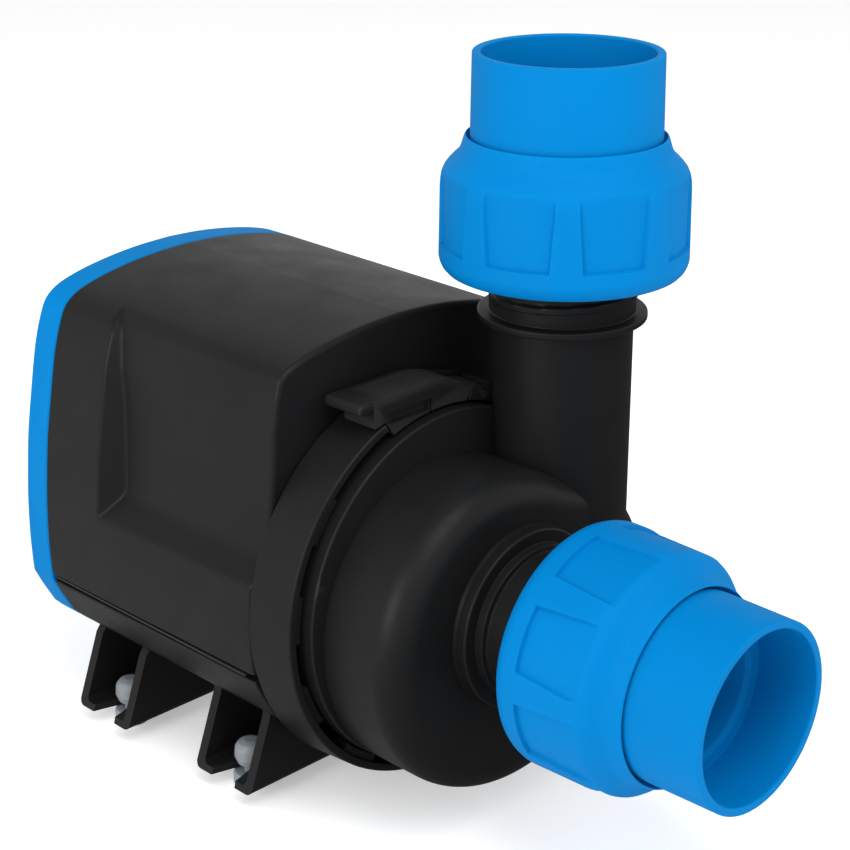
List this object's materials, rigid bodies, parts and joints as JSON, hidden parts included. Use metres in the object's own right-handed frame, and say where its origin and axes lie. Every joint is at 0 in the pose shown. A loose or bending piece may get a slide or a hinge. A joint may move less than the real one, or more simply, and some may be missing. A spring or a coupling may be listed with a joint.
{
  "type": "wave maker pump",
  "caption": "Magnet-drive aquarium and pond pump: boxy potted motor on silicone feet, front volute with bayonet ring and latch, and two union pipe sockets.",
  "frame": {"origin": "on the floor, under the middle of the outside box", "axes": "the inlet faces -Y along the rotor's axis, the outlet points to +Z and lies on the +X side, the rear cover faces +Y"},
  "size_m": [0.112, 0.2134, 0.1825],
  "materials": {
    "black_plastic": "satin",
    "blue_plastic": "satin",
    "silicone": "translucent grey",
    "seal_rubber": "matte",
    "steel": "bright",
    "lamination": "satin",
    "copper": "enamelled copper",
    "ceramic": "polished",
    "magnet": "sintered ferrite",
    "board": "satin",
    "capacitor": "sleeved"
  },
  "bodies": {
    "housing": {"base_frame": "black_plastic", "motor_cover": "black_plastic", "rear_cover": "blue_plastic", "cover_screw_1": "steel", "cover_screw_2": "steel", "cover_screw_3": "steel", "cover_screw_4": "steel", "cable_gland_body": "black_plastic", "cable_gland_nut": "black_plastic", "cable_gland_seal": "seal_rubber", "rotor_well": "black_plastic", "stator_core": "lamination", "coil_1": "copper", "coil_2": "copper", "coil_3": "copper", "coil_4": "copper", "coil_5": "copper", "coil_6": "copper", "driver_board": "board", "capacitor_1": "capacitor", "capacitor_2": "capacitor", "shaft": "ceramic", "rear_bush": "ceramic", "rear_thrust_washer": "ceramic", "foot_pad_1": "silicone", "foot_pad_2": "silicone", "foot_pad_3": "silicone", "foot_pad_4": "silicone", "latch_pin": "steel"},
    "rotor": {"rotor_sleeve": "black_plastic", "rotor_magnet": "magnet", "impeller": "black_plastic"},
    "volute": {"volute": "black_plastic", "front_bush": "ceramic", "front_thrust_washer": "ceramic", "volute_seal": "seal_rubber"},
    "inlet_tail": {"inlet_tail": "blue_plastic", "inlet_seal": "seal_rubber"},
    "inlet_nut": {"inlet_nut": "blue_plastic"},
    "outlet_tail": {"outlet_tail": "blue_plastic", "outlet_seal": "seal_rubber"},
    "outlet_nut": {"outlet_nut": "blue_plastic"},
    "latch": {"latch": "black_plastic"}
  },
  "joints": [
    {"name": "rotor_spin", "type": "hinge", "parent": "housing", "child": "rotor", "pos_m": [-0.00519, 0.02575, 0.054], "axis": [0, 1, 0], "continuous": true},
    {"name": "volute_twist", "type": "hinge", "parent": "housing", "child": "volute", "pos_m": [-0.00519, -0.00625, 0.054], "axis": [0, 1, 0], "range_deg": [0, 15]},
    {"name": "inlet_tail_slide", "type": "slide", "parent": "volute", "child": "inlet_tail", "axis": [0, -1, 0], "range_m": [0, 0.0151]},
    {"name": "inlet_nut_turn", "type": "hinge", "parent": "inlet_tail", "child": "inlet_nut", "pos_m": [-0.00519, -0.06925, 0.054], "axis": [0, -1, 0], "range_deg": [0, 1080]},
    {"name": "outlet_tail_slide", "type": "slide", "parent": "volute", "child": "outlet_tail", "axis": [0, 0, 1], "range_m": [0, 0.0151]},
    {"name": "outlet_nut_turn", "type": "hinge", "parent": "outlet_tail", "child": "outlet_nut", "pos_m": [0.02616, -0.01955, 0.144], "axis": [0, 0, 1], "range_deg": [0, 1080]},
    {"name": "latch_lift", "type": "hinge", "parent": "housing", "child": "latch", "pos_m": [0.00921, -0.00425, 0.0997], "axis": [0, 1, 0], "range_deg": [0, 6], "stiffness_Nm_per_rad": 0.8, "springref_deg": -2.86}
  ],
  "couplings": [
    {"joint": "inlet_tail_slide", "follows": "inlet_nut_turn", "m_per_rad": 0.00079577},
    {"joint": "outlet_tail_slide", "follows": "outlet_nut_turn", "m_per_rad": 0.00079577}
  ]
}
